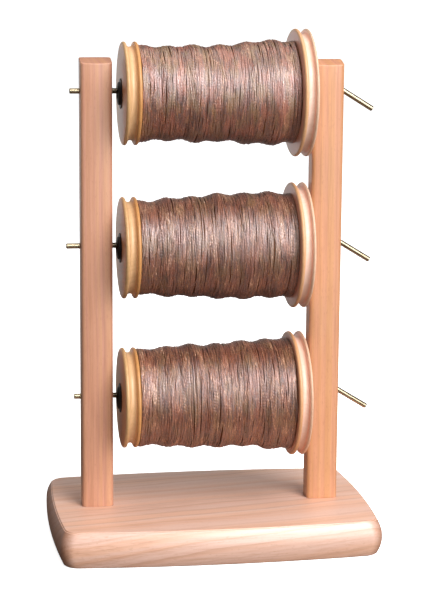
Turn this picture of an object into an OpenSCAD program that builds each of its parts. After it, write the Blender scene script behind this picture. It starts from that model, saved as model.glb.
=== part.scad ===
// Upright bobbin rack for a hand spinner: a wooden base, two uprights, three bent
// brass rods pushed through them, and on each rod a wooden bobbin full of yarn.
// Millimetres. +Z is up, X runs along the rods, -Y is the front. The origin is the
// centre of the base's underside.

/* [Base] */
// Length of the base, along the rods
base_length = 241; // [220:1:270]
// Depth of the base, front to back
base_depth = 164; // [140:1:180]
// Thickness of the base
base_thickness = 26.3; // [22:0.1:32]
// How far the middle of the long edges stands out beyond their ends
side_bow = 5.5; // [2:0.5:8]
// How far the middle of the short edges stands out beyond their ends
end_bow = 3.3; // [2:0.1:8]
// Radius of the base's corners, seen from above
base_corner_r = 11; // [6:1:20]
// How far the cushioned edge draws in at the top face
top_draw_in = 4.2; // [1:0.1:6]
// How far the cushioned edge draws in at the underside
bottom_draw_in = 3.4; // [1:0.1:6]

/* [Uprights] */
// Width of an upright, along the rods
upright_width = 23.1; // [20:0.1:28]
// Depth of an upright, front to back
upright_depth = 18; // [16:0.5:22]
// Height of the left and of the right upright above the base
upright_heights = [330.1, 328.6]; // [325:0.1:360]
// Distance between the uprights' centre lines
upright_spacing = 169.4; // [168:0.1:180]
// Radius of the uprights' long edges
upright_edge_r = 3; // [2:0.5:7]
// How far the uprights and rods stand in front of the middle of the base
rack_forward = 2; // [0:0.5:6]
// How far the sloping top falls at the front
top_fall = 3.6; // [2:0.1:9]
// Depth of the sloping part of the top
top_slope_depth = 12.5; // [8:0.5:15]

/* [Rods] */
// Diameter of the brass rods
rod_d = 4; // [3.5:0.1:5]
// Diameter of the holes that the rods slide in
rod_hole_d = 4.6; // [4.2:0.1:6]
// Height of the lowest rod above the base
rod_first_height = 82.5; // [75:0.5:90]
// Distance from one rod up to the next
rod_pitch = 112; // [100:0.5:115]
// Angle of the bent end below the horizontal
rod_bend_angle = 31.5; // [20:0.5:60]
// Radius of the bend, on the rod's centre line
rod_bend_r = 6; // [5:0.5:10]
// Straight length of the bent end
rod_tail = 25.2; // [15:0.1:25.4]
// How far the rods' straight ends stand out of the left upright, top rod first
rod_overhangs = [7.2, 10.2, 5.2]; // [5:0.1:20]

/* [Bobbins] */
// Length of a bobbin over the outer faces of its whorls
bobbin_length = 137.5; // [130:0.5:138.5]
// Diameter of the small whorl
small_whorl_d = 74.2; // [68:0.2:78]
// Diameter of the large whorl
large_whorl_d = 92.6; // [84:0.2:96]
// Thickness of a whorl
whorl_thickness = 11.6; // [10:0.2:14]
// Depth of the band groove in the small whorl
small_groove_depth = 3.6; // [3:0.2:6]
// Depth of the band groove in the large whorl
large_groove_depth = 4.4; // [3:0.2:6]
// Diameter of the core that the yarn is wound on
core_d = 25; // [20:1:30]
// Diameter of the bore that the rod passes through, in the bushes
bush_bore_d = 8.2; // [7:0.1:9]
// Diameter of a bush's washer-like flange
bush_flange_d = 21.6; // [18:0.2:24]
// Diameter of a bush's raised hub
bush_hub_d = 16.6; // [14:0.2:17.6]
// How far each bobbin is pushed along its rod to the right, top bobbin first
bobbin_shifts = [0.3, -0.3, -0.4]; // [-2:0.1:0.3]

/* [Yarn] */
// Radius of the top bobbin's winding at each crest, starting at the small whorl
top_crests = [35, 34.2, 35.2, 35.2, 37.2, 38.8, 37.4]; // [30:0.2:42]
// Radius of the middle bobbin's winding at each crest
middle_crests = [35, 36.4, 37, 39, 40, 39, 39]; // [30:0.2:42]
// Radius of the bottom bobbin's winding at each crest
bottom_crests = [36.2, 37.6, 38.6, 39.4, 39.8, 42, 42.4]; // [30:0.2:42]
// Distance of the first crest from the small whorl
first_crest = 3; // [0:0.5:10]
// Distance between crests, as between the hooks of a flyer
crest_pitch = 19; // [17:0.1:19]
// Depth of the valleys between the crests
valley_depth = 1.6; // [0:0.1:2.5]

/* [Hidden] */

base_wood = "#dcb49c";
upright_wood = "#dc9e7c";
bobbin_wood = "#e2b67c";
brass = "#b59a5b";
black_nylon = "#1c1b1b";
yarn_brown = "#96766a";
steel = "#8d9094";

TOP = 0;
MIDDLE = 1;
BOTTOM = 2;
smooth = 96;
hull_smooth = 32;
eps = 0.01;
// How far a cut runs out past a face
over = 1;

// Base: the long and short edges are arcs of these radii
side_chord = base_length - 2 * base_corner_r;
end_chord = base_depth - 2 * base_corner_r;
side_arc_r = side_chord * side_chord / (8 * side_bow) + side_bow / 2;
end_arc_r = end_chord * end_chord / (8 * end_bow) + end_bow / 2;
base_layers = 10;
arc_smooth = 720;

// Screws, two up into the foot of each upright
screw_d = 4.2;
screw_head_d = 8;
screw_head_height = 2.6;
screw_length = 55;
screw_gap = 11;
screw_sink = 0.6;
screw_tip_length = 4;
screw_hole_spare = 1;
recess_width = 1;
recess_length = 4.4;
recess_depth = 1.8;

// Rods
upright_outer_x = upright_spacing / 2 + upright_width / 2;
upright_inner_x = upright_spacing / 2 - upright_width / 2;
bend_inside = 1.7;
// The bend is a hair thinner and runs a little way into the straight lengths
joint_overlap = 0.05;
bend_d = rod_d - 0.02;
bend_start_x = upright_outer_x - bend_inside;
tip_bevel = 0.5;

// Bobbins: each hangs on its rod, so its axis is lower than the rod's
hang_gap = 0.1;
hang_drop = bush_bore_d / 2 - rod_d / 2 - hang_gap;
bobbin_middle_x = 2.05;
bush_flange_height = 0.7;
bush_hub_height = 1.8;
bush_nose_length = 1;
bush_nose_d = 10;
bush_spigot_d = 12;
bush_spigot_length = 9;
core_tenon_d = 18;
core_tenon_length = 10;
outer_round_r = 2;
inner_round_r = 1.5;
crest_r = 1.3;
crest_steps = 6;
groove_steps = 10;
yarn_steps = 60;

function rod_z(level) = base_thickness + rod_first_height + (BOTTOM - level) * rod_pitch;
function bobbin_z(level) = rod_z(level) - hang_drop;
function bobbin_left_x(level) = bobbin_middle_x + bobbin_shifts[level] - bobbin_length / 2;

// ---------------------------------------------------------------- base

// Plan of the base drawn in by inset all round: four shallow arcs, rounded corners
module base_outline(inset) {
    offset(r = base_corner_r, $fn = hull_smooth)
        offset(delta = -base_corner_r)
            intersection_for(side = [-1, 1])
                intersection() {
                    translate([0, side * (side_arc_r - base_depth / 2 + inset)])
                        circle(r = side_arc_r, $fn = arc_smooth);
                    translate([side * (end_arc_r - base_length / 2 + inset), 0])
                        circle(r = end_arc_r, $fn = arc_smooth);
                }
}

// Draw-in of the cushioned edge at a height given as -1 (underside) to 1 (top)
function edge_inset(u) = (u > 0 ? top_draw_in : bottom_draw_in) * u * u;

module base_block() {
    hull()
        for (i = [0 : base_layers])
            translate([0, 0, (base_thickness - eps) * i / base_layers])
                linear_extrude(eps)
                    base_outline(edge_inset(2 * i / base_layers - 1));
}

module at_screws() {
    for (side = [-1, 1])
        for (offset_x = [-screw_gap / 2, screw_gap / 2])
            translate([side * upright_spacing / 2 + offset_x, -rack_forward, 0])
                children();
}

module base() {
    color(base_wood)
        difference() {
            base_block();
            at_screws() {
                translate([0, 0, -over])
                    cylinder(h = base_thickness + 2 * over, d = screw_d, $fn = smooth);
                translate([0, 0, -eps])
                    cylinder(h = screw_sink + eps, d = screw_head_d, $fn = smooth);
                translate([0, 0, screw_sink])
                    cylinder(h = screw_head_height, d1 = screw_head_d, d2 = screw_d, $fn = smooth);
            }
        }
}

// ---------------------------------------------------------------- uprights

module upright_section() {
    flat_x = upright_width / 2 - upright_edge_r;
    flat_y = upright_depth / 2 - upright_edge_r;
    square([upright_width, 2 * flat_y], center = true);
    square([2 * flat_x, upright_depth], center = true);
    for (x = [-flat_x, flat_x])
        for (y = [-flat_y, flat_y])
            translate([x, y])
                circle(r = upright_edge_r, $fn = smooth);
}

// The wedge that leaves the sloping top of an upright this high
module top_wedge(height) {
    reach = upright_width;
    front_y = -upright_depth / 2;
    slope = top_fall / top_slope_depth;
    rotate([90, 0, 90])
        linear_extrude(2 * reach, center = true)
            polygon([
                [front_y - reach, height - top_fall - reach * slope],
                [front_y + top_slope_depth, height],
                [front_y + top_slope_depth, height + reach],
                [front_y - reach, height + reach],
            ]);
}

module upright(side) {
    height = upright_heights[side < 0 ? 0 : 1];
    color(upright_wood)
        translate([side * upright_spacing / 2, -rack_forward, base_thickness])
            difference() {
                linear_extrude(height)
                    upright_section();
                top_wedge(height);
                for (level = [TOP : BOTTOM])
                    translate([0, 0, rod_z(level) - base_thickness])
                        rotate([0, 90, 0])
                            cylinder(h = 2 * upright_width, d = rod_hole_d, center = true, $fn = smooth);
                for (offset_x = [-screw_gap / 2, screw_gap / 2])
                    translate([offset_x, 0, -eps])
                        cylinder(h = screw_length - base_thickness + screw_hole_spare, d = screw_d, $fn = smooth);
            }
}

// One countersunk wood screw standing on its head, with a cross recess
module screw() {
    shank_top = screw_length - screw_tip_length;
    difference() {
        union() {
            cylinder(h = screw_head_height, d1 = screw_head_d, d2 = screw_d, $fn = smooth);
            translate([0, 0, screw_head_height])
                cylinder(h = shank_top - screw_head_height, d = screw_d, $fn = smooth);
            translate([0, 0, shank_top])
                cylinder(h = screw_tip_length - screw_sink, d1 = screw_d, d2 = recess_width, $fn = smooth);
        }
        for (turn = [0, 90])
            rotate([0, 0, turn])
                translate([0, 0, recess_depth / 2 - eps])
                    cube([recess_length, recess_width, recess_depth + eps], center = true);
    }
}

module upright_screws() {
    color(steel)
        at_screws()
            translate([0, 0, screw_sink])
                screw();
}

// ---------------------------------------------------------------- rods

// A rod from its plain left end to the bend just outside the right upright
module rod(level) {
    left_x = -upright_outer_x - rod_overhangs[level];
    straight = bend_start_x - left_x + joint_overlap;
    color(brass)
        translate([0, -rack_forward, rod_z(level)]) {
            translate([left_x, 0, 0])
                rotate([0, 90, 0]) {
                    cylinder(h = tip_bevel, d1 = rod_d - 2 * tip_bevel, d2 = rod_d, $fn = smooth);
                    translate([0, 0, tip_bevel])
                        cylinder(h = straight - tip_bevel, d = rod_d, $fn = smooth);
                }
            translate([bend_start_x, 0, -rod_bend_r]) {
                rotate([90, 0, 0])
                    rotate([0, 0, 90 - rod_bend_angle])
                        rotate_extrude(angle = rod_bend_angle, $fn = smooth)
                            translate([rod_bend_r, 0])
                                circle(d = bend_d, $fn = smooth);
                rotate([0, rod_bend_angle, 0])
                    translate([0, 0, rod_bend_r])
                        rotate([0, 90, 0])
                            rod_tail_end();
            }
        }
}

module rod_tail_end() {
    translate([0, 0, -joint_overlap])
        cylinder(h = rod_tail - tip_bevel + joint_overlap, d = rod_d, $fn = smooth);
    translate([0, 0, rod_tail - tip_bevel])
        cylinder(h = tip_bevel, d1 = rod_d, d2 = rod_d - 2 * tip_bevel, $fn = smooth);
}

// ---------------------------------------------------------------- bobbins

// Puts a shape that stands on its axis from z = 0 onto a bobbin, lying to the right
module on_bobbin(level) {
    translate([bobbin_left_x(level), -rack_forward, bobbin_z(level)])
        rotate([0, 90, 0])
            children();
}

// The same from the bobbin's right end, lying to the left
module on_bobbin_right(level) {
    translate([bobbin_left_x(level) + bobbin_length, -rack_forward, bobbin_z(level)])
        rotate([0, -90, 0])
            children();
}

module core(level) {
    tenon_start = whorl_thickness - core_tenon_length;
    color(bobbin_wood)
        on_bobbin(level)
            difference() {
                union() {
                    translate([0, 0, whorl_thickness])
                        cylinder(h = bobbin_length - 2 * whorl_thickness, d = core_d, $fn = smooth);
                    translate([0, 0, tenon_start])
                        cylinder(h = bobbin_length - 2 * tenon_start, d = core_tenon_d, $fn = smooth);
                }
                translate([0, 0, -over])
                    cylinder(h = bobbin_length + 2 * over, d = bush_spigot_d, $fn = smooth);
            }
}

// Points of an arc; first = 1 leaves out the point at which it starts
function arc(centre, r, from, to, steps, first = 0) =
    [for (i = [first : steps])
        let (angle = from + (to - from) * i / steps)
        centre + r * [cos(angle), sin(angle)]];

// Half section of a whorl, outer face at height 0: two narrow rims and a wide round groove
// whose arc touches the arcs of both rims' crests
module whorl_section(whorl_d, groove_depth) {
    whorl_r = whorl_d / 2;
    tenon_start = whorl_thickness - core_tenon_length;
    inner_crest = whorl_thickness - inner_round_r;
    half_gap = (inner_crest - outer_round_r) / 2;
    groove_r = (half_gap ^ 2 + (groove_depth - crest_r) ^ 2 - crest_r ^ 2) / (2 * groove_depth);
    lean = atan((groove_r + crest_r - groove_depth) / half_gap);
    polygon(concat(
        [[bush_spigot_d / 2, 0]],
        arc([whorl_r - outer_round_r, outer_round_r], outer_round_r, -90, 0, crest_steps),
        arc([whorl_r - crest_r, outer_round_r], crest_r, 0, 90 - lean, crest_steps, 1),
        arc([whorl_r - groove_depth + groove_r, outer_round_r + half_gap], groove_r,
            270 - lean, 90 + lean, groove_steps, 1),
        arc([whorl_r - crest_r, inner_crest], crest_r, lean - 90, 0, crest_steps, 1),
        arc([whorl_r - inner_round_r, inner_crest], inner_round_r, 0, 90, crest_steps, 1),
        [
            [core_tenon_d / 2, whorl_thickness],
            [core_tenon_d / 2, tenon_start],
            [bush_spigot_d / 2, tenon_start],
        ]
    ));
}

module whorl(whorl_d, groove_depth) {
    color(bobbin_wood)
        rotate_extrude($fn = smooth)
            whorl_section(whorl_d, groove_depth);
}

// A bush standing with its flange's underside at height 0 and its spigot above. Its hub
// ends in a conical nose of this length, for which only the left end has room.
module bush(nose_length) {
    hub_end = bush_hub_height + nose_length;
    color(black_nylon)
        difference() {
            union() {
                if (nose_length > 0)
                    translate([0, 0, -hub_end])
                        cylinder(h = nose_length, d1 = bush_nose_d, d2 = bush_hub_d, $fn = smooth);
                translate([0, 0, -bush_flange_height])
                    cylinder(h = bush_flange_height, d = bush_flange_d, $fn = smooth);
                translate([0, 0, -bush_hub_height])
                    cylinder(h = bush_hub_height, d = bush_hub_d, $fn = smooth);
                cylinder(h = bush_spigot_length, d = bush_spigot_d, $fn = smooth);
            }
            translate([0, 0, -hub_end - over])
                cylinder(h = bush_spigot_length + hub_end + 2 * over, d = bush_bore_d, $fn = smooth);
        }
}

// Radius of the winding at a distance from the small whorl
function yarn_r(level, along) =
    let (crests = [top_crests, middle_crests, bottom_crests][level])
    let (place = max(0, (along - first_crest) / crest_pitch))
    let (crest = min(floor(place), len(crests) - 2))
    let (t = (1 - cos(180 * min(1, place - crest))) / 2)
    crests[crest] + (crests[crest + 1] - crests[crest]) * t
        - valley_depth * (1 - cos(360 * place)) / 2;

module yarn(level) {
    wound_length = bobbin_length - 2 * whorl_thickness;
    color(yarn_brown)
        on_bobbin(level)
            translate([0, 0, whorl_thickness])
                rotate_extrude($fn = smooth)
                    polygon(concat(
                        [[core_d / 2, 0]],
                        [for (i = [0 : yarn_steps])
                            let (along = wound_length * i / yarn_steps)
                            [yarn_r(level, along), along]],
                        [[core_d / 2, wound_length]]
                    ));
}

module small_whorl(level) {
    on_bobbin(level)
        whorl(small_whorl_d, small_groove_depth);
}

module large_whorl(level) {
    on_bobbin_right(level)
        whorl(large_whorl_d, large_groove_depth);
}

module left_bush(level) {
    on_bobbin(level)
        bush(bush_nose_length);
}

module right_bush(level) {
    on_bobbin_right(level)
        bush(0);
}

// ---------------------------------------------------------------- nodes

base();
upright(-1);  // left_upright
upright(1);  // right_upright
upright_screws();
rod(TOP);  // top_rod
rod(MIDDLE);  // middle_rod
rod(BOTTOM);  // bottom_rod
core(TOP);  // top_core
small_whorl(TOP);  // top_small_whorl
large_whorl(TOP);  // top_large_whorl
left_bush(TOP);  // top_left_bush
right_bush(TOP);  // top_right_bush
yarn(TOP);  // top_yarn
core(MIDDLE);  // middle_core
small_whorl(MIDDLE);  // middle_small_whorl
large_whorl(MIDDLE);  // middle_large_whorl
left_bush(MIDDLE);  // middle_left_bush
right_bush(MIDDLE);  // middle_right_bush
yarn(MIDDLE);  // middle_yarn
core(BOTTOM);  // bottom_core
small_whorl(BOTTOM);  // bottom_small_whorl
large_whorl(BOTTOM);  // bottom_large_whorl
left_bush(BOTTOM);  // bottom_left_bush
right_bush(BOTTOM);  // bottom_right_bush
yarn(BOTTOM);  // bottom_yarn
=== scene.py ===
"""Looks of an upright bobbin rack: wood, brass rods, turned bobbins and wound yarn."""

import math

import bmesh
import bpy
import numpy as np
from mathutils import Matrix, Vector


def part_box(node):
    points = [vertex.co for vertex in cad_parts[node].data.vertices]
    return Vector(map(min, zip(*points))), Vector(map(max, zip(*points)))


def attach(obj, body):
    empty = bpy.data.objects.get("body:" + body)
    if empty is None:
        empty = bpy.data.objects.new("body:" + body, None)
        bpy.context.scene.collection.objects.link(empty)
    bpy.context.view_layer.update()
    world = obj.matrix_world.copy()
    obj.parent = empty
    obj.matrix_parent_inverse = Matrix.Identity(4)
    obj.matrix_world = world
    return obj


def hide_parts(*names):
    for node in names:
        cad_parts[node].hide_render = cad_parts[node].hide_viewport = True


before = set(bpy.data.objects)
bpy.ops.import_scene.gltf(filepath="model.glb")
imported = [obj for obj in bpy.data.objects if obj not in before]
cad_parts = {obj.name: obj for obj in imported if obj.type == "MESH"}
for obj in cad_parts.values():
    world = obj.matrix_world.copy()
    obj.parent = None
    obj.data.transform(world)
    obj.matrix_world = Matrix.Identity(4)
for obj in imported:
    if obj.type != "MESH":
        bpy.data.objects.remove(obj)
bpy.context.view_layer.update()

MM = 0.001
LEVELS = ("top", "middle", "bottom")

# Shapes that the frame's boxes don't tell, as in the CAD model
SIDE_BOW = 5.5 * MM
END_BOW = 3.3 * MM
BASE_CORNER_R = 11 * MM
TOP_DRAW_IN = 4.2 * MM
BOTTOM_DRAW_IN = 3.4 * MM
UPRIGHT_EDGE_R = 3 * MM
UPRIGHT_CROWN = 0.7 * MM
TOP_FALL = 3.6 * MM
TOP_SLOPE_DEPTH = 12.5 * MM
ROD_HOLE_R = 2.3 * MM
ROD_BEND_R = 6 * MM
ROD_BEND_ANGLE = math.radians(31.5)
ROD_BEND_INSIDE = 1.7 * MM
ROD_END_BEVEL = 0.5 * MM
OUTER_ROUND_R = 2 * MM
INNER_ROUND_R = 1.5 * MM
CREST_R = 1.3 * MM
GROOVE_DEPTHS = {"small": 3.6 * MM, "large": 4.4 * MM}
BUSH_BORE_R = 4.1 * MM
BUSH_HUB_R = 8.3 * MM
BUSH_SPIGOT_R = 6 * MM
BUSH_FLANGE_HEIGHT = 0.7 * MM
BUSH_HUB_HEIGHT = 1.8 * MM
BUSH_NOSE_LENGTH = 1 * MM
BUSH_NOSE_R = 5 * MM
CORE_TENON_R = 9 * MM
TENON_START = 1.6 * MM
SCREW_HEAD_R = 4 * MM
SCREW_SHANK_R = 2.1 * MM
SCREW_SINK = 0.6 * MM
SCREW_HEAD_HEIGHT = 2.6 * MM
SCREW_GAP = 11 * MM

# Fine shapes that only the drawn model has
EDGE_FILLET = 0.9 * MM
TOP_FILLET_WIDTH = 0.8  # of the fillet's height
FILLET_STEPS = 6
FOOT_FILLET = 0.25 * MM
UPRIGHT_FILLET = 0.8 * MM
SLOPE_SOFTNESS = 0.25 * MM
ROD_BEVEL = 0.45 * MM
FACE_DOMES = {"small": 0.3 * MM, "large": 1.2 * MM}
HOLE_SIDES = 48
SCREW_HOLE_SPARE = 1 * MM
SCREW_HOLE_DEPTH = 20 * MM
BUSH_EDGE = 0.3 * MM
BUSH_FOOT_FILLET = 0.2 * MM
BUSH_PLAIN_ROUND = 0.35 * MM


# ---------------------------------------------------------------- meshes

def mesh_from_faces(name, points, loops, sizes):
    """A mesh from arrays: points, the faces' corner indices in a row, and each face's size."""
    mesh = bpy.data.meshes.new(name)
    mesh.vertices.add(len(points))
    mesh.vertices.foreach_set("co", np.asarray(points, np.float32).ravel())
    mesh.loops.add(len(loops))
    mesh.loops.foreach_set("vertex_index", np.asarray(loops, np.int32))
    mesh.polygons.add(len(sizes))
    starts = np.concatenate([[0], np.cumsum(sizes)[:-1]]).astype(np.int32)
    mesh.polygons.foreach_set("loop_start", starts)
    mesh.polygons.foreach_set("use_smooth", np.ones(len(sizes), bool))
    mesh.update(calc_edges=True)
    mesh.validate()
    return mesh


def grid_faces(rows, columns, close_rows=False):
    """Corner indices of the quads of a grid whose columns close round."""
    index = np.arange(rows * columns).reshape(rows, columns)
    if close_rows:
        index = np.vstack([index, index[:1]])
    here, after = index[:-1], index[1:]
    quads = np.stack([here, np.roll(here, -1, 1), np.roll(after, -1, 1), after], axis=2)
    return quads.reshape(-1, 4)


def tube_mesh(name, rings):
    """A closed tube through rings, an array of shape (ring, corner, 3), with flat ends."""
    rows, columns = rings.shape[:2]
    quads = grid_faces(rows, columns)
    start_cap = np.arange(columns)[::-1]
    end_cap = (rows - 1) * columns + np.arange(columns)
    loops = np.concatenate([quads.ravel(), start_cap, end_cap])
    sizes = np.concatenate([np.full(len(quads), 4), [columns, columns]])
    return mesh_from_faces(name, rings.reshape(-1, 3), loops, sizes)


def outward(mesh):
    """Turns every face of a closed mesh outward."""
    shell = bmesh.new()
    shell.from_mesh(mesh)
    bmesh.ops.recalc_face_normals(shell, faces=shell.faces)
    shell.to_mesh(mesh)
    shell.free()


def full_turn(steps):
    return np.linspace(0, 2 * math.pi, steps, endpoint=False)


def at_height(plan, z):
    """The ring of a plan's points at one height, or at a height for each point."""
    return np.column_stack([plan, np.broadcast_to(z, len(plan))])


def lathe_mesh(name, outline, axis_y, axis_z, segments):
    """A closed outline of (x, radius) points turned about a line along X."""
    turn = full_turn(segments)
    outline = np.asarray(outline, float)
    x = np.repeat(outline[:, :1], segments, axis=1)
    y = axis_y + outline[:, 1:] * np.cos(turn)
    z = axis_z + outline[:, 1:] * np.sin(turn)
    points = np.stack([x, y, z], axis=2).reshape(-1, 3)
    quads = grid_faces(len(outline), segments, close_rows=True)
    mesh = mesh_from_faces(name, points, quads.ravel(), np.full(len(quads), 4))
    outward(mesh)
    return mesh


def crisp(mesh, degrees):
    """Shades the mesh smooth, but for edges sharper than an angle."""
    mesh.set_sharp_from_angle(angle=math.radians(degrees))


def added(name, data):
    """A new object in the scene."""
    made = bpy.data.objects.new(name, data)
    bpy.context.scene.collection.objects.link(made)
    return made


def piece(mesh, material, body, slot, *replaced):
    """Shows a finished mesh as an object that rides on a body and stands for CAD nodes."""
    made = added(mesh.name, mesh)
    mesh.materials.clear()
    mesh.materials.append(material)
    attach(made, body)
    if replaced:
        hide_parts(*replaced)


def cut(mesh, cutters):
    """The mesh, under its own name, with the cutters' closed meshes taken out of it."""
    name = mesh.name
    body = added("cut_body", mesh)
    tools = [added("cut_tool", cutter) for cutter in cutters]
    for tool in tools:
        modifier = body.modifiers.new("cut", "BOOLEAN")
        modifier.operation = "DIFFERENCE"
        modifier.solver = "EXACT"
        modifier.object = tool
    bpy.context.view_layer.update()
    graph = bpy.context.evaluated_depsgraph_get()
    result = bpy.data.meshes.new_from_object(body.evaluated_get(graph))
    for thing in [body, *tools]:
        data = thing.data
        bpy.data.objects.remove(thing)
        bpy.data.meshes.remove(data)
    result.name = name
    return result


def quarter_round(radius):
    """(along, across) distances from a fillet's two faces, from (0, radius) to (radius, 0)."""
    angles = [math.radians(90 * i / FILLET_STEPS) for i in range(FILLET_STEPS + 1)]
    return [(radius * (1 - math.cos(a)), radius * (1 - math.sin(a))) for a in angles]


def arc(centre_x, centre_r, radius, start, end, steps):
    """Points of an arc, angles in degrees."""
    angles = np.radians(np.linspace(start, end, steps))
    return [(centre_x + radius * math.cos(a), centre_r + radius * math.sin(a)) for a in angles]


# ---------------------------------------------------------------- materials

COAT = 0.12
PLY_PITCH = 4.4 * MM

# For each bobbin, a tint of its yarn, the yarn's index of refraction, for its lustre, and how
# strongly its rust and olive patches show
YARN_CASTS = {
    "top": ((1.13, 1.04, 0.95), 3.4, 1.0),
    "middle": ((1.07, 1.05, 1.05), 3.05, 0.55),
    "bottom": ((1.15, 1.09, 1.02), 2.8, 0.5),
}

# The dark band of painted shade on a rod, in mm: from the left upright to its middle, and
# from there to where it starts to fade and where it ends
SHADE_BAND_PLACE = 7
SHADE_BAND_CORE = 7.0
SHADE_BAND_FADE = 9.0


class Nodes:
    """Builds the node tree of a material or a world."""

    def __init__(self, name, world=False):
        self.owner = (bpy.data.worlds if world else bpy.data.materials).new(name)
        self.owner.use_nodes = True
        self.tree = self.owner.node_tree
        self.shader = None if world else self.tree.nodes["Principled BSDF"]

    def add(self, kind, **settings):
        """A new node with its settings."""
        node = self.tree.nodes.new(kind)
        for key, value in settings.items():
            setattr(node, key, value)
        return node

    def link(self, source, target):
        self.tree.links.new(source, target)

    def feed(self, socket, value):
        """Links a socket to another node's output, or sets it to a constant."""
        if isinstance(value, bpy.types.NodeSocket):
            self.link(value, socket)
        else:
            socket.default_value = value

    def set(self, **values):
        """Constants of the shader, named as its sockets with _ for each space."""
        for key, value in values.items():
            self.shader.inputs[key.replace("_", " ")].default_value = value

    def object_mm(self, offset=(0, 0, 0), turn=(0, 0, 0)):
        """Object coordinates in millimetres, turned and then moved."""
        coordinates = self.add("ShaderNodeTexCoord").outputs["Object"]
        mapping = self.add("ShaderNodeMapping", vector_type="POINT")
        self.link(coordinates, mapping.inputs["Vector"])
        mapping.inputs["Scale"].default_value = (1 / MM,) * 3
        mapping.inputs["Rotation"].default_value = turn
        mapping.inputs["Location"].default_value = offset
        return mapping.outputs["Vector"]

    def stretch(self, vector, scale, offset=(0, 0, 0)):
        """A vector scaled and then moved."""
        mapping = self.add("ShaderNodeMapping", vector_type="POINT")
        self.link(vector, mapping.inputs["Vector"])
        mapping.inputs["Scale"].default_value = scale
        mapping.inputs["Location"].default_value = offset
        return mapping.outputs["Vector"]

    def noise(self, vector, scale, offset=(0, 0, 0), detail=2.0, roughness=0.5):
        """Noise in space, with about scale features for each unit of the vector."""
        place = self.stretch(vector, scale, offset)
        node = self.add("ShaderNodeTexNoise")
        self.link(place, node.inputs["Vector"])
        return self.tuned(node, 1.0, detail, roughness)

    def noise_along(self, value, scale, detail=2.0, roughness=0.5):
        """Noise along a line, with about scale features for each unit of the value."""
        node = self.add("ShaderNodeTexNoise", noise_dimensions="1D")
        self.link(value, node.inputs["W"])
        return self.tuned(node, scale, detail, roughness)

    def tuned(self, node, scale, detail, roughness):
        """A noise node's output, once its settings are made."""
        node.inputs["Scale"].default_value = scale
        node.inputs["Detail"].default_value = detail
        node.inputs["Roughness"].default_value = roughness
        return node.outputs["Fac"]

    def math(self, operation, first, second=0.5, third=0.5):
        node = self.add("ShaderNodeMath", operation=operation)
        self.feed(node.inputs[0], first)
        self.feed(node.inputs[1], second)
        self.feed(node.inputs[2], third)
        return node.outputs[0]

    def parts(self, vector):
        """A vector's x, y and z."""
        node = self.add("ShaderNodeSeparateXYZ")
        self.link(vector, node.inputs[0])
        return node.outputs

    def length(self, vector):
        node = self.add("ShaderNodeVectorMath", operation="LENGTH")
        self.link(vector, node.inputs[0])
        return node.outputs["Value"]

    def dot(self, vector, direction):
        node = self.add("ShaderNodeVectorMath", operation="DOT_PRODUCT")
        self.link(vector, node.inputs[0])
        node.inputs[1].default_value = direction
        return node.outputs["Value"]

    def along(self, place, origin, direction):
        """How far a place lies from an origin along a direction."""
        moved = self.stretch(place, (1, 1, 1), [-value for value in origin])
        return self.dot(moved, direction)

    def facing(self, axis):
        """How far the surface faces along an axis, from -1 to 1."""
        return self.parts(self.add("ShaderNodeNewGeometry").outputs["Normal"])[axis]

    def ramp(self, value, stops):
        """A colour ramp through (place, colour) stops."""
        node = self.add("ShaderNodeValToRGB")
        self.link(value, node.inputs["Fac"])
        elements = node.color_ramp.elements
        while len(elements) < len(stops):
            elements.new(0.5)
        for element, (place, colour) in zip(elements, stops):
            element.position = place
            element.color = (*colour, 1)
        return node.outputs["Color"]

    def span(self, value, low, high, to_low=0.0, to_high=1.0):
        """A value from low to high mapped to another range, and held at that range's ends."""
        node = self.add("ShaderNodeMapRange", clamp=True)
        self.feed(node.inputs["Value"], value)
        node.inputs["From Min"].default_value = low
        node.inputs["From Max"].default_value = high
        node.inputs["To Min"].default_value = to_low
        node.inputs["To Max"].default_value = to_high
        return node.outputs["Result"]

    def mix(self, share, first, second, blend="MIX"):
        """A share of the second colour blended into the first."""
        node = self.add("ShaderNodeMix", data_type="RGBA", blend_type=blend)
        self.feed(node.inputs["Factor"], share)
        colours = [s for s in node.inputs if s.type == "RGBA"]
        for socket, colour in zip(colours, (first, second)):
            plain = not isinstance(colour, bpy.types.NodeSocket)
            self.feed(socket, (*colour, 1) if plain else colour)
        return next(s for s in node.outputs if s.type == "RGBA")

    def finish(self, colour, roughness):
        """Feeds the shader's colour and roughness."""
        self.feed(self.shader.inputs["Base Color"], colour)
        self.feed(self.shader.inputs["Roughness"], roughness)

    def bump(self, height, distance, strength):
        """Feeds the shader's normal from a height."""
        node = self.add("ShaderNodeBump")
        node.inputs["Strength"].default_value = strength
        node.inputs["Distance"].default_value = distance
        self.link(height, node.inputs["Height"])
        self.link(node.outputs["Normal"], self.shader.inputs["Normal"])


def grain_scale(grain, across, along):
    """Noise scales for features that are drawn out along the grain axis."""
    scale = [across] * 3
    scale[grain] = along
    return scale


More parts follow.
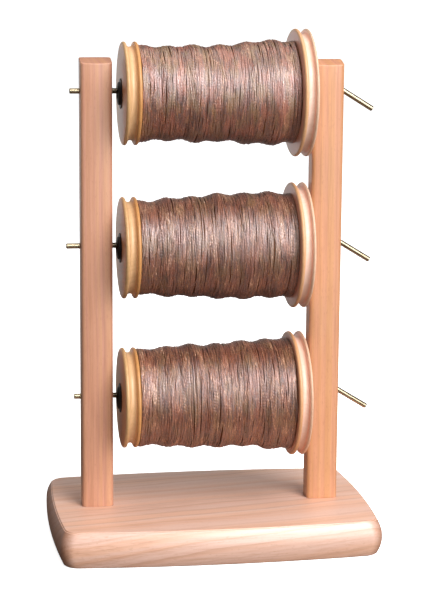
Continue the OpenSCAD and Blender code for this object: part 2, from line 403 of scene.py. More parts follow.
def wood(name, tones, grain, layers, pitch, wander=1.2, offset=(0, 0, 0), turn=(0, 0, 0),
         fleck=0.3, lines=0.5, hue=None, end=None, rim=None, sheen=0.6, polish=None):
    """Lacquered hardwood. tones are its pale, middle and dark colours. grain is the axis that
    the fibres follow, as 0, 1 or 2; layers is the direction across the year rings, pitch their
    rough spacing in mm, and wander how far they stray, in pitches. lines is the strength of the
    dark ring lines and fleck of the short dark flecks, hue the tint of some broad bands, end the
    tint of the end grain, which on the left upright also holds painted shade, and rim =
    (y, z, radius, inner x, side) tints a whorl, partly with painted shade and reflections. sheen
    is the specular level, and polish the lacquer's strength on a front that is glossier than
    the rest."""
    nodes = Nodes(name)
    place = nodes.object_mm(offset, turn)
    broad = grain_scale(grain, 0.05, 0.009)
    drift = nodes.noise(place, broad, detail=3)
    depth = nodes.math("MULTIPLY_ADD", drift, wander * pitch, nodes.dot(place, layers))
    fibres = nodes.noise(place, grain_scale(grain, 0.9, 0.035), detail=3, roughness=0.6)
    pores = nodes.noise(place, grain_scale(grain, 4.0, 0.12))
    colour = ring_tones(nodes, place, broad, depth, fibres, pitch, tones)
    if hue:
        bands = nodes.noise_along(nodes.math("ADD", depth, 57.0), 0.7 / pitch)
        colour = nodes.mix(nodes.span(bands, 0.42, 0.60, 0, 0.85), colour, hue, "MULTIPLY")
    dark = tones[2]
    colour = nodes.mix(ring_lines(nodes, depth, pitch, lines), colour, dark)
    flecks = nodes.noise(place, grain_scale(grain, 1.1, 0.30), (31, 7, 13), detail=1)
    colour = nodes.mix(nodes.span(flecks, 0.60, 0.72, 0, fleck), colour, dark)
    colour = nodes.mix(nodes.span(pores, 0.62, 0.75, 0, 0.20), colour, dark)
    if end:
        facing = nodes.math("ABSOLUTE", nodes.facing(grain))
        colour = nodes.mix(nodes.span(facing, 0.25, 0.9, 0, 0.9), colour, end, "MULTIPLY")
    if rim:
        colour = whorl_tints(nodes, colour, *rim)
    nodes.finish(colour, nodes.span(fibres, 0.3, 0.7, 0.36, 0.50))
    nodes.bump(nodes.math("MULTIPLY_ADD", pores, 0.6, fibres), 0.05 * MM, 0.5)
    nodes.set(Coat_Weight=COAT, Coat_Roughness=0.25, Specular_IOR_Level=sheen)
    if polish:
        lacquer = nodes.span(nodes.facing(1), -0.70, -0.97, COAT, polish)
        nodes.link(lacquer, nodes.shader.inputs["Coat Weight"])
    return nodes.owner


def ring_tones(nodes, place, broad, depth, fibres, pitch, tones):
    """The wood's colour from its year rings, its fibres and slow changes along the board."""
    pale, middle, dark = tones
    rings = nodes.noise_along(depth, 1 / pitch, detail=3, roughness=0.62)
    cloud = nodes.noise(place, [s * 0.35 for s in broad])
    tone = nodes.math("MULTIPLY_ADD", fibres, 0.45, nodes.math("MULTIPLY", rings, 0.45))
    tone = nodes.math("MULTIPLY_ADD", cloud, 0.35, tone)
    return nodes.ramp(tone, [(0.38, dark), (0.60, middle), (0.82, pale)])


def ring_lines(nodes, depth, pitch, lines):
    """How strongly the dark line at the end of each year ring shows."""
    ring = nodes.math("FRACT", nodes.math("MULTIPLY", depth, 1 / pitch))
    strong = nodes.noise_along(depth, 0.45 / pitch, detail=1)
    strength = nodes.span(strong, 0.35, 0.65, 0, lines)
    return nodes.math("MULTIPLY", nodes.span(ring, 0.74, 0.97), strength)


def whorl_tints(nodes, colour, y, z, radius, inner_x, side):
    """Tints of a whorl: yellower crests, and a browner crest next to the yarn, partly its wood
    and partly painted shade and painted warm light bounced from the yarn. Faces towards the left
    get a painted pink reflection, warmer and browner on their front half. side is where the yarn
    lies from the whorl along x, as -1 or 1. The lengths are in mm, and reach is negative inside
    the radius."""
    place = nodes.object_mm()
    spoke = nodes.length(nodes.stretch(place, (0, 1, 1), (0, -y / MM, -z / MM)))
    reach = nodes.math("SUBTRACT", spoke, radius / MM)
    colour = nodes.mix(nodes.span(reach, -1.8, -0.3), colour, (0.97, 0.94, 0.82), "MULTIPLY")
    # The crest next to the yarn: partly its wood's browner colour, partly painted shade and
    # painted warm light bounced from the yarn.
    inwards = nodes.along(place, (inner_x / MM, 0, 0), (-side, 0, 0))
    crest = nodes.math("MULTIPLY", nodes.span(inwards, 3.5, 2.3), nodes.span(reach, -3.0, -1.5))
    colour = nodes.mix(crest, colour, (0.92, 0.74, 0.53), "MULTIPLY")
    # Painted reflection: faces that look left get the mauve-pink of the room they mirror.
    leftward = nodes.span(nodes.facing(0), -0.6, -0.95)
    left_face_painted_reflection = nodes.math("MULTIPLY", leftward, nodes.span(reach, -1.5, -3.0))
    colour = nodes.mix(left_face_painted_reflection, colour, (0.98, 0.87, 0.93), "MULTIPLY")
    # Painted reflection and shade: the front half of those faces is warmer and browner, where they
    # mirror the shaded left upright.
    forward = nodes.along(place, (0, y / MM, 0), (0, -1, 0))
    front = nodes.math("MULTIPLY", left_face_painted_reflection, nodes.span(forward, -12, 22))
    return nodes.mix(front, colour, (1.05, 0.86, 0.70), "MULTIPLY")


def brass():
    """Drawn brass, with a band of painted shade from the left upright to each left bush."""
    nodes = Nodes("brass")
    place = nodes.object_mm()
    drawn = nodes.noise(place, (0.04, 1.5, 1.5))
    tarnish = nodes.noise(place, (0.05, 0.15, 0.15))
    colour = nodes.ramp(tarnish, [(0.30, (0.36, 0.295, 0.19)), (0.75, (0.46, 0.39, 0.265))])
    # Painted shade: the rods are darkened between the left upright and the bobbins' left bushes.
    middle_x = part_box("left_upright")[1].x / MM + SHADE_BAND_PLACE
    away = nodes.math("ABSOLUTE", nodes.along(place, (middle_x, 0, 0), (1, 0, 0)))
    painted_shade_band = nodes.span(away, SHADE_BAND_FADE, SHADE_BAND_CORE, 0, 0.9)
    colour = nodes.mix(painted_shade_band, colour, (0.045, 0.036, 0.028))
    nodes.finish(colour, nodes.span(drawn, 0.3, 0.7, 0.20, 0.27))
    nodes.set(Metallic=1.0)
    return nodes.owner


def black_nylon():
    nodes = Nodes("black_nylon")
    place = nodes.object_mm()
    grain = nodes.noise(place, (2.2, 2.2, 2.2), detail=3)
    colour = nodes.ramp(grain, [(0.3, (0.009, 0.008, 0.008)), (0.8, (0.022, 0.020, 0.020))])
    nodes.finish(colour, nodes.span(grain, 0.3, 0.7, 0.40, 0.55))
    nodes.bump(grain, 0.04 * MM, 0.4)
    nodes.set(Specular_IOR_Level=0.4)
    return nodes.owner


def screw_steel():
    nodes = Nodes("screw_steel")
    place = nodes.object_mm()
    scratches = nodes.noise(place, (0.4, 3.0, 1.2), detail=3)
    colour = nodes.ramp(scratches, [(0.3, (0.26, 0.26, 0.27)), (0.8, (0.46, 0.47, 0.48))])
    nodes.finish(colour, nodes.span(scratches, 0.3, 0.7, 0.28, 0.46))
    nodes.bump(scratches, 0.03 * MM, 0.4)
    nodes.set(Metallic=1.0)
    return nodes.owner


def ply_places(nodes):
    """The places on a strand: (metres along, turn round it, strand number), the same with a
    number for each of the two plies, and how far a ply bulges, from 0 in the groove to 1."""
    strand = nodes.add("ShaderNodeAttribute", attribute_name="strand").outputs["Vector"]
    along, turn, number = nodes.parts(strand)
    twist = nodes.math("MULTIPLY_ADD", along, 1 / PLY_PITCH, turn)
    wave = nodes.math("SINE", nodes.math("MULTIPLY", twist, 2 * math.pi))
    own = nodes.math("MULTIPLY_ADD", nodes.span(wave, -0.1, 0.1), 17.0, number)
    plied = nodes.add("ShaderNodeCombineXYZ")
    nodes.link(along, plied.inputs[0])
    nodes.link(turn, plied.inputs[1])
    nodes.link(own, plied.inputs[2])
    return strand, plied.outputs[0], nodes.math("ABSOLUTE", wave)


def heather(nodes, place, strand, ply, fibres):
    """The yarn's brown, from nearly black to cream, mixed from patches, lengths and fibres."""
    patch = nodes.noise(place, (0.16, 0.05, 0.05), (2, 7, 4), roughness=0.6)
    blend = nodes.noise(strand, (34, 0.3, 9.1), roughness=0.6)
    blend = nodes.math("MULTIPLY_ADD", patch, 0.45, nodes.math("MULTIPLY", blend, 0.55))
    shade = nodes.noise(ply, (150, 0.8, 5.3), (3, 0, 8), roughness=0.6)
    mixed = nodes.math("MULTIPLY_ADD", shade, 0.45, nodes.math("MULTIPLY", blend, 0.55))
    mixed = nodes.math("MULTIPLY_ADD", nodes.math("SUBTRACT", fibres, 0.5), 0.42, mixed)
    return nodes.ramp(mixed, [
        (0.38, (0.030, 0.008, 0.004)),
        (0.45, (0.096, 0.028, 0.013)),
        (0.52, (0.208, 0.075, 0.035)),
        (0.59, (0.42, 0.195, 0.100)),
        (0.67, (0.92, 0.68, 0.52)),
    ])


def rust_and_olive(nodes, colour, place, strand, patchy):
    """The colour with rust and olive wool blended in here and there."""
    tint = nodes.noise(strand, (70, 0.2, 7.7), (9, 4, 1), detail=1)
    area = nodes.noise(place, (0.13, 0.06, 0.06), (31, 2, 9), detail=1)
    tint = nodes.math("MULTIPLY_ADD", area, 0.6, nodes.math("MULTIPLY", tint, 0.4))
    rust = nodes.span(tint, 0.52, 0.60, 0, 0.55 * patchy)
    colour = nodes.mix(rust, colour, (0.36, 0.095, 0.045))
    olive = nodes.span(tint, 0.48, 0.40, 0, 0.60 * patchy)
    return nodes.mix(olive, colour, (0.275, 0.170, 0.058))


def yarn_material(level):
    """Heathered silky two-ply handspun. The mesh's strand attribute holds metres along the
    strand, the turn round it from -0.5 to 0.5, and a number of its own for each strand."""
    cast, gloss, patchy = YARN_CASTS[level]
    nodes = Nodes(level + "_heathered_yarn")
    strand, ply, bulge = ply_places(nodes)
    place = nodes.object_mm()
    fibres = nodes.noise(ply, (420, 3.0, 3.1), (1, 6, 2), detail=3, roughness=0.65)
    colour = heather(nodes, place, strand, ply, fibres)
    colour = rust_and_olive(nodes, colour, place, strand, patchy)
    # Painted shade in the groove between the two plies.
    colour = nodes.mix(nodes.span(bulge, 0.0, 0.5, 0.30, 0), colour, (0.020, 0.008, 0.005))
    colour = nodes.mix(1.0, colour, cast, "MULTIPLY")
    # Painted shade and painted warm bounce light: the winding is darker and warmer where it faces
    # down.
    underside_painted_shade = nodes.span(nodes.facing(2), 0.0, -0.8)
    colour = nodes.mix(underside_painted_shade, colour, (0.80, 0.54, 0.34), "MULTIPLY")
    nodes.finish(colour, nodes.span(fibres, 0.42, 0.62, 0.48, 0.27))
    nodes.bump(nodes.math("MULTIPLY_ADD", fibres, 1.2, bulge), 0.10 * MM, 1.0)
    nodes.set(IOR=gloss, Specular_Tint=(1.0, 0.90, 0.89, 1.0))
    return nodes.owner


def wound_body_material():
    """The wool that shows between the outer strands."""
    nodes = Nodes("wound_wool")
    place = nodes.object_mm()
    turns = nodes.noise(place, (1.6, 0.05, 0.05), detail=3)
    colour = nodes.ramp(turns, [(0.3, (0.14, 0.060, 0.035)), (0.7, (0.34, 0.17, 0.10))])
    nodes.finish(colour, 0.85)
    nodes.bump(turns, 0.4 * MM, 0.8)
    nodes.set(Specular_IOR_Level=0.2)
    return nodes.owner


# ---------------------------------------------------------------- base

def outline_quarter(length, depth, inset):
    """Right front quarter of the base's plan, from the middle of the front edge to the
    middle of the right edge. Each bowed edge and the corner between them are arcs."""
    corner_r = BASE_CORNER_R
    side_chord = length - 2 * corner_r
    end_chord = depth - 2 * corner_r
    side_r = side_chord ** 2 / (8 * SIDE_BOW) + SIDE_BOW / 2
    end_r = end_chord ** 2 / (8 * END_BOW) + END_BOW / 2
    side_y = side_r - depth / 2 + inset
    end_x = -(end_r - length / 2 + inset)
    x = length / 2 - corner_r
    for _ in range(12):  # closes in on the corner's centre
        y = side_y - math.sqrt((side_r - corner_r) ** 2 - x ** 2)
        x = end_x + math.sqrt((end_r - corner_r) ** 2 - y ** 2)
    side_angle = math.atan2(x, side_y - y)
    end_angle = math.atan2(y, x - end_x)
    points = []
    for a in np.linspace(0, side_angle, 30, endpoint=False):
        points.append((side_r * math.sin(a), side_y - side_r * math.cos(a)))
    for a in np.linspace(side_angle - math.pi / 2, end_angle, 14, endpoint=False):
        points.append((x + corner_r * math.cos(a), y + corner_r * math.sin(a)))
    for a in np.linspace(end_angle, 0, 20, endpoint=False):
        points.append((end_x + end_r * math.cos(a), end_r * math.sin(a)))
    return np.array(points + [(end_x + end_r, 0.0)])


def base_ring(length, depth, inset):
    """The whole plan, once round anticlockwise from the middle of the front edge."""
    quarter = outline_quarter(length, depth, inset)
    right_back = quarter[::-1][1:] * (1, -1)
    left_back = quarter[1:] * (-1, -1)
    left_front = quarter[::-1][1:-1] * (-1, 1)
    return np.vstack([quarter, right_back, left_back, left_front])


def edge_levels(thickness):
    """(height, draw-in) pairs up the cushioned edge, with small fillets at both ends."""
    fillet = quarter_round(EDGE_FILLET)
    levels = [(rise, BOTTOM_DRAW_IN + draw) for rise, draw in fillet[:-1]]
    for z in np.linspace(EDGE_FILLET, thickness - EDGE_FILLET, 15):
        u = 2 * z / thickness - 1
        levels.append((z, (TOP_DRAW_IN if u > 0 else BOTTOM_DRAW_IN) * u * u))
    for draw, drop in fillet[1:]:
        levels.append((thickness - drop, TOP_DRAW_IN + draw * TOP_FILLET_WIDTH))
    return levels


def screw_cutters(centre_x, y):
    """The countersunk holes of one upright's two screws, from below."""
    cutters = []
    for x in (centre_x - SCREW_GAP / 2, centre_x + SCREW_GAP / 2):
        outline = [
            (-SCREW_HOLE_SPARE, SCREW_HEAD_R),
            (SCREW_SINK, SCREW_HEAD_R),
            (SCREW_SINK + SCREW_HEAD_HEIGHT, SCREW_SHANK_R),
            (SCREW_HOLE_DEPTH, SCREW_SHANK_R),
        ]
        rings = [
            [(x + r * math.cos(t), y + r * math.sin(t), z) for t in full_turn(HOLE_SIDES)]
            for z, r in outline
        ]
        cutter = tube_mesh("screw_hole", np.array(rings))
        outward(cutter)
        cutters.append(cutter)
    return cutters


def build_base(material):
    low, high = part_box("base")
    length, depth = high.x - low.x, high.y - low.y
    levels = edge_levels(high.z - low.z)
    rings = [at_height(base_ring(length, depth, draw), low.z + z) for z, draw in levels]
    board = tube_mesh("base_board", np.array(rings))
    outward(board)
    cutters = []
    for side in ("left_upright", "right_upright"):
        foot_low, foot_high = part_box(side)
        centre = (foot_low + foot_high) / 2
        cutters += screw_cutters(centre.x, centre.y)
    board = cut(board, cutters)
    crisp(board, 30)
    piece(board, material, "frame", "base_wood", "base")


# ---------------------------------------------------------------- uprights

def upright_ring(half_width, half_depth, shrink):
    """Section of an upright: crowned front and back, flat sides, round corners. It goes once
    round anticlockwise from the front's left end."""
    r = UPRIGHT_EDGE_R
    flat = half_width - r
    crown_r = flat ** 2 / (2 * UPRIGHT_CROWN)
    start = math.asin(min(1.0, flat / crown_r))
    corner_x = flat - r * math.sin(start)
    corner_y = -half_depth + UPRIGHT_CROWN + r * math.cos(start)
    crown, corner = [], []
    for x in np.linspace(-flat, flat, 15, endpoint=False):
        crown.append((x, -half_depth + x * x / (2 * crown_r)))
    for a in np.linspace(start, math.pi / 2, 12):
        x = corner_x + (half_width - corner_x) * math.sin(a)
        corner.append((x, corner_y - r * math.cos(a)))
    crown, corner = np.array(crown), np.array(corner)
    side_y = np.linspace(corner[-1, 1], -corner[-1, 1], 8)[1:-1]
    ring = np.vstack([
        crown,
        corner,
        [(half_width, y) for y in side_y],
        corner[::-1] * (1, -1),
        crown[::-1][:-1] * (1, -1),
        [(-flat, half_depth - UPRIGHT_CROWN)],
        corner * (-1, -1),
        [(-half_width, -y) for y in side_y],
        corner[::-1][:-1] * (-1, 1),
    ])
    size = np.array([half_width, half_depth])
    return ring * (size - shrink) / size


def upright_rings(half_width, half_depth, bottom, top_z):
    """Sections from the foot to the sloping top, where they close in over a fillet."""
    rings = [at_height(upright_ring(half_width, half_depth, FOOT_FILLET), bottom)]
    wall = upright_ring(half_width, half_depth, 0)
    start = bottom + FOOT_FILLET
    for share in np.linspace(0, 1, 24):
        height = top_z(wall[:, 1]) - UPRIGHT_FILLET - start
        rings.append(at_height(wall, start + share * height))
    for draw, drop in quarter_round(UPRIGHT_FILLET)[1:]:
        plan = upright_ring(half_width, half_depth, draw)
        rings.append(at_height(plan, top_z(plan[:, 1]) - drop))
    for share in (0.8, 0.6, 0.4, 0.2, 0.02):
        plan = upright_ring(half_width, half_depth, UPRIGHT_FILLET) * share
        rings.append(at_height(plan, top_z(plan[:, 1])))
    return np.array(rings)


def build_upright(name, material, rods):
    low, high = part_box(name)
    centre = (low + high) / 2
    half_width, half_depth = (high.x - low.x) / 2, (high.y - low.y) / 2

    def top_z(y):
        """Height of the top, flat at the back and falling towards the front."""
        below = TOP_FALL * (1 - (y + half_depth) / TOP_SLOPE_DEPTH)
        steep = np.exp(np.clip(below / SLOPE_SOFTNESS, -60, 60))
        return high.z - SLOPE_SOFTNESS * np.log1p(steep)

    rings = upright_rings(half_width, half_depth, low.z, top_z)
    rings[:, :, 0] += centre.x
    rings[:, :, 1] += centre.y
    post = tube_mesh(name + "_post", rings)
    outward(post)
    post = cut(post, [bore_cutter(centre.x, half_width, rod) for rod in rods])
    crisp(post, 40)
    piece(post, material, "frame", "upright_wood", name)


def bore_cutter(centre_x, half_width, rod):
    """A rod's hole through an upright."""
    rod_y, rod_z, _ = rod_axis(rod)
    turn = full_turn(HOLE_SIDES)
    y = rod_y + ROD_HOLE_R * np.cos(turn)
    z = rod_z + ROD_HOLE_R * np.sin(turn)
    ends = (centre_x - 1.5 * half_width, centre_x + 1.5 * half_width)
    rings = [np.column_stack([np.full(HOLE_SIDES, x), y, z]) for x in ends]
    cutter = tube_mesh("rod_hole", np.array(rings))
    outward(cutter)
    return cutter


# ---------------------------------------------------------------- rods

def rod_axis(rod):
    """y and z of a rod's straight length, and its radius."""
    low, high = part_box(rod)
    radius = (high.y - low.y) / 2
    return (low.y + high.y) / 2, high.z - radius, radius


def rod_path(low_x, high_x, z, radius):
    """(x, z) points along a rod's middle line: straight, bent down, and straight again."""
    bend_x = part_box("right_upright")[1].x - ROD_BEND_INSIDE
    angle = ROD_BEND_ANGLE
    path = [(x, z) for x in np.linspace(low_x, bend_x, 24, endpoint=False)]
    for a in np.linspace(0, angle, 12):
        path.append((bend_x + ROD_BEND_R * math.sin(a), z - ROD_BEND_R * (1 - math.cos(a))))
    end_x, end_z = path[-1]
    rim = (radius - ROD_END_BEVEL) * math.sin(angle)  # the tilted end's rim lies past its middle
    tail = (high_x - end_x - rim) / math.cos(angle)
    for share in np.linspace(0, 1, 8)[1:]:
        run = share * tail
        path.append((end_x + run * math.cos(angle), end_z - run * math.sin(angle)))
    return with_bevelled_ends(np.array(path))


def with_bevelled_ends(path):
    """The same path with an extra point a bevel's length in from each end."""
    def between(a, b):
        return a + (b - a) * ROD_BEVEL / np.linalg.norm(b - a)
    first, last = between(path[0], path[1]), between(path[-1], path[-2])
    return np.vstack([path[:1], first, path[1:-1], last, path[-1:]])


def build_rod(level, material):
    rod = level + "_rod"
    low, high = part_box(rod)
    y, z, radius = rod_axis(rod)
    path = rod_path(low.x, high.x, z, radius)
    slopes = np.gradient(path, axis=0)
    slopes /= np.linalg.norm(slopes, axis=1)[:, None]
    sizes = np.full(len(path), radius)
    sizes[[0, -1]] = radius - ROD_BEVEL
    across = np.array([0, 1, 0])
    rings = []
    for (x, height), (dx, dz), size in zip(path, slopes, sizes):
        side = np.array([-dz, 0, dx])
        centre = np.array([x, y, height])
        rings.append([
            centre + size * (math.cos(t) * side + math.sin(t) * across) for t in full_turn(40)
        ])
    mesh = tube_mesh(rod + "_brass", np.array(rings))
    outward(mesh)
    crisp(mesh, 30)
    piece(mesh, material, rod, "brass", rod)


# ---------------------------------------------------------------- bobbins

def bobbin_axis(level):
    """y and z of a bobbin's axis."""
    low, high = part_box(level + "_core")
    return (low.y + high.y) / 2, (low.z + high.z) / 2


def whorl_outline(radius, thickness, groove_depth, dome):
    """Closed outline of a whorl's half section as (x from the outer face, radius) points. The
    groove's arc touches the arcs of both rims' crests, and the outer face is domed."""
    inner_crest = thickness - INNER_ROUND_R
    half_gap = (inner_crest - OUTER_ROUND_R) / 2
    groove_r = (half_gap ** 2 + (groove_depth - CREST_R) ** 2 - CREST_R ** 2) / (2 * groove_depth)
    lean = math.degrees(math.atan((groove_r + CREST_R - groove_depth) / half_gap))
    groove_x = OUTER_ROUND_R + half_gap
    points = [(0, BUSH_SPIGOT_R)]
    points += [(0, radius * share) for share in (0.30, 0.45, 0.60, 0.75, 0.88)]
    points += arc(OUTER_ROUND_R, radius - OUTER_ROUND_R, OUTER_ROUND_R, 180, 90, 9)
    points += arc(OUTER_ROUND_R, radius - CREST_R, CREST_R, 80, lean, 8)
    centre_r = radius - groove_depth + groove_r
    points += arc(groove_x, centre_r, groove_r, 188 + lean, 352 - lean, 16)
    points += arc(inner_crest, radius - CREST_R, CREST_R, 180 - lean, 100, 8)
    points += arc(inner_crest, radius - INNER_ROUND_R, INNER_ROUND_R, 90, 0, 9)
    points += [(thickness, radius * 0.8), (thickness, CORE_TENON_R)]
    points += [(TENON_START, CORE_TENON_R), (TENON_START, BUSH_SPIGOT_R)]
    domed = []
    for x, r in points:
        fall = dome * (r / radius) ** 2
        domed.append((x + fall * max(0, 1 - x / OUTER_ROUND_R), r))
    return domed


def from_left(outline, low_x, high_x, left):
    """An outline's points placed from a box's left side, or mirrored from its right side."""
    return [(low_x + x if left else high_x - x, r) for x, r in outline]


def build_whorl(level, size, material):
    node = f"{level}_{size}_whorl"
    low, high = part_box(node)
    radius = (high.z - low.z) / 2
    outline = whorl_outline(radius, high.x - low.x, GROOVE_DEPTHS[size], FACE_DOMES[size])
    outline = from_left(outline, low.x, high.x, size == "small")
    mesh = lathe_mesh(node + "_turned", outline, *bobbin_axis(level), 200)
    crisp(mesh, 30)
    piece(mesh, material, level + "_bobbin", "bobbin_wood", node)


def bush_outline(flange_r, length, nose):
    """Closed outline of a bush, as (x from its outer end, radius) points. nose is the length
    of its dome, or 0 for a plain end."""
    step = nose + BUSH_HUB_HEIGHT - BUSH_FLANGE_HEIGHT
    points = [(BUSH_EDGE, BUSH_BORE_R), (0, BUSH_BORE_R + BUSH_EDGE)]
    if nose:
        rise = BUSH_HUB_R - BUSH_NOSE_R
        dome = [(0.1, 0.05), (0.3, 0.4), (0.6, 0.75), (1.0, 0.97)]
        points += [(x * nose, BUSH_NOSE_R + r * rise) for x, r in dome]
        points += [(nose + BUSH_EDGE, BUSH_HUB_R)]
    else:
        centre_r = BUSH_HUB_R - BUSH_PLAIN_ROUND
        points += arc(BUSH_PLAIN_ROUND, centre_r, BUSH_PLAIN_ROUND, 180, 90, 5)
    points += [(step - BUSH_FOOT_FILLET, BUSH_HUB_R), (step, BUSH_HUB_R + BUSH_FOOT_FILLET)]
    points += arc(step + BUSH_EDGE, flange_r - BUSH_EDGE, BUSH_EDGE, 180, 90, 5)
    end = nose + BUSH_HUB_HEIGHT
    points += [(end, flange_r), (end, BUSH_SPIGOT_R)]
    points += [(length, BUSH_SPIGOT_R), (length, BUSH_BORE_R)]
    return points


def build_bush(level, side, material):
    node = f"{level}_{side}_bush"
    low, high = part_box(node)
    nose = BUSH_NOSE_LENGTH if side == "left" else 0
    outline = bush_outline((high.z - low.z) / 2, high.x - low.x, nose)
    outline = from_left(outline, low.x, high.x, side == "left")
    mesh = lathe_mesh(node + "_moulded", outline, *bobbin_axis(level), 96)
    crisp(mesh, 35)
    piece(mesh, material, level + "_bobbin", "black_nylon", node)


# ---------------------------------------------------------------- yarn

STRAND_R = 0.44 * MM
NUMBER_STEP = 3.7  # between the strands' numbers, which set their colours apart
BODY_DEPTH = 1.7 * MM  # of the body under the strands, below the winding's outer radius
WINDING_INNER_R = 20 * MM  # the CAD's points nearer the axis are the bore's
END_MARGIN = 0.6 * MM
OUT_OF_ROUND = 0.22 * MM
LAYERS = (
    # name, turns, size, then depth, drift, sway and lift in mm, steps a turn, sides
    ("under", 128, 1.0, 0.74, 1.0, 0.3, 0.10, 48, 5),
    ("over", 124, 1.0, 0.54, 3.0, 1.8, 0.12, 72, 6),
    ("outer", 118, 1.0, 0.42, 4.0, 2.8, 0.18, 72, 6),
    ("stray", 34, 0.75, 0.15, 7.0, 5.0, 0.10, 72, 6),
)


def yarn_profile(level):
    """The winding's outer radius along x, as arrays, read from its CAD solid."""
    y, z = bobbin_axis(level)
    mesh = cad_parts[level + "_yarn"].data
    points = np.zeros(len(mesh.vertices) * 3, np.float32)
    mesh.vertices.foreach_get("co", points)
    points = points.reshape(-1, 3).astype(float)
    radius = np.hypot(points[:, 1] - y, points[:, 2] - z)
    keep = radius > WINDING_INNER_R
    x = np.round(points[keep, 0], 5)
    places = np.unique(x)
    outer = np.array([radius[keep][x == place].max() for place in places])
    return places, outer


def smooth_noise(rng, length, steps):
    """Smooth random values from about -1 to 1, one a step, with a feature every length steps."""
    knots = rng.uniform(-1, 1, int(steps / length) + 5)
    place = np.arange(steps) / length + 1
    whole = place.astype(int)
    t = place - whole
    a, b, c, d = (knots[whole + k] for k in (-1, 0, 1, 2))
    return b + 0.5 * t * (c - a + t * (2 * a - 5 * b + 4 * c - d + t * (3 * (b - c) + d - a)))


def lumps(level, x, angle):
    """How far a hand-wound bobbin is out of round, in metres."""
    rng = np.random.default_rng(LEVELS.index(level))
    total = np.zeros_like(x)
    for waves in (1, 1, 2, 2, 3, 3, 4):
        lean = rng.uniform(-260, 260)
        start = rng.uniform(0, 6.28)
        total += np.cos(waves * angle + lean * x + start)
    return OUT_OF_ROUND * total


def strand_mesh(name, x, angle, radius, thickness, axis, number, sides):
    """A strand as a tube. x, angle and radius give its middle line round the bobbin's axis.
    The attribute holds the way along it, the share of a turn round it, and its number."""
    y0, z0 = axis
    line = np.column_stack([x, y0 + radius * np.cos(angle), z0 + radius * np.sin(angle)])
    tangent = np.gradient(line, axis=0)
    tangent /= np.linalg.norm(tangent, axis=1)[:, None]
    out = np.column_stack([np.zeros(len(x)), np.cos(angle), np.sin(angle)])
    side = np.cross(tangent, out)
    side /= np.linalg.norm(side, axis=1)[:, None]
    turn = full_turn(sides) + math.pi
    cos, sin = np.cos(turn)[None, :, None], np.sin(turn)[None, :, None]
    reach = cos * out[:, None, :] + sin * side[:, None, :]
    mesh = tube_mesh(name, line[:, None, :] + thickness[:, None, None] * reach)
    along = np.concatenate([[0], np.cumsum(np.linalg.norm(np.diff(line, axis=0), axis=1))])
    strand = np.zeros((len(x), sides, 3), np.float32)
    strand[:, :, 0] = along[:, None]
    strand[:, :, 1] = (turn / (2 * math.pi) - 1)[None, :]
    strand[:, :, 2] = number
    attribute = mesh.attributes.new("strand", "FLOAT_VECTOR", "POINT")
    attribute.data.foreach_set("vector", strand.ravel())
    return mesh


def winding(level, layer, seed):
    """One strand wound along the bobbin. Drift and sway wander slowly and quickly along it,
    and it turns back at the ends. Lift moves it in and out."""
    name, turns, size, depth, drift, sway, lift, steps_a_turn, sides = layer
    rng = np.random.default_rng(seed)
    places, outer = yarn_profile(level)
    low, high = places[0] + END_MARGIN, places[-1] - END_MARGIN
    steps = turns * steps_a_turn
    x = low + np.linspace(0, 1, steps) * (high - low)
    x += drift * MM * smooth_noise(rng, 1.2 * steps_a_turn, steps)
    x += sway * MM * smooth_noise(rng, 0.17 * steps_a_turn, steps)
    x = low + np.abs(x - low)
    x = high - np.abs(high - x)
    angle = -2 * math.pi * np.arange(steps) / steps_a_turn + rng.uniform(0, 6)
    uneven = 1 + 0.20 * smooth_noise(rng, 8, steps) + 0.08 * smooth_noise(rng, 3, steps)
    thickness = size * STRAND_R * uneven
    radius = np.interp(x, places, outer) - depth * MM + lumps(level, x, angle)
    radius += lift * MM * smooth_noise(rng, 0.35 * steps_a_turn, steps)
    axis = bobbin_axis(level)
    number = seed * NUMBER_STEP
    return strand_mesh(f"{level}_yarn_{name}", x, angle, radius, thickness, axis, number, sides)


def build_yarn(level, seed, strands, body):
    places, outer = yarn_profile(level)
    core_low, core_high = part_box(level + "_core")
    core_r = (core_high.z - core_low.z) / 2
    inner = outer - BODY_DEPTH
    outline = [(places[0], core_r)] + list(zip(places, inner)) + [(places[-1], core_r)]
    mesh = lathe_mesh(level + "_yarn_inside", outline, *bobbin_axis(level), 120)
    crisp(mesh, 50)
    piece(mesh, body, level + "_bobbin", "yarn", level + "_yarn")
    for i, layer in enumerate(LAYERS):
        piece(winding(level, layer, seed + i), strands, level + "_bobbin", "yarn")


# ---------------------------------------------------------------- assembly

# Pale, middle and dark
BASE_TONES = (0.80, 0.56, 0.465), (0.745, 0.475, 0.37), (0.56, 0.30, 0.195)
LARGE_WHORL_TONES = (0.84, 0.63, 0.52), (0.80, 0.57, 0.455), (0.72, 0.48, 0.36)
SMALL_WHORL_TONES = (0.71, 0.45, 0.24), (0.65, 0.395, 0.20), (0.56, 0.33, 0.155)
# The left end tint is darker than the right: end grain plus painted shade on the left upright's
# top.
LEFT_PALE, LEFT_END_GRAIN_AND_SHADE = (0.635, 0.325, 0.225), (0.80, 0.74, 0.70)
RIGHT_PALE, RIGHT_END = (0.65, 0.32, 0.178), (0.98, 0.95, 1.0)
FIRST_CORE_NUMBER = 7


def base_wood():
    return wood(
        "base_wood", BASE_TONES, grain=0, layers=(-0.10, 0.55, 0.83), pitch=6.0,
        hue=(1.0, 0.89, 0.76), end=(0.50, 0.36, 0.27), sheen=0.45, lines=0.8, polish=1.0,
    )


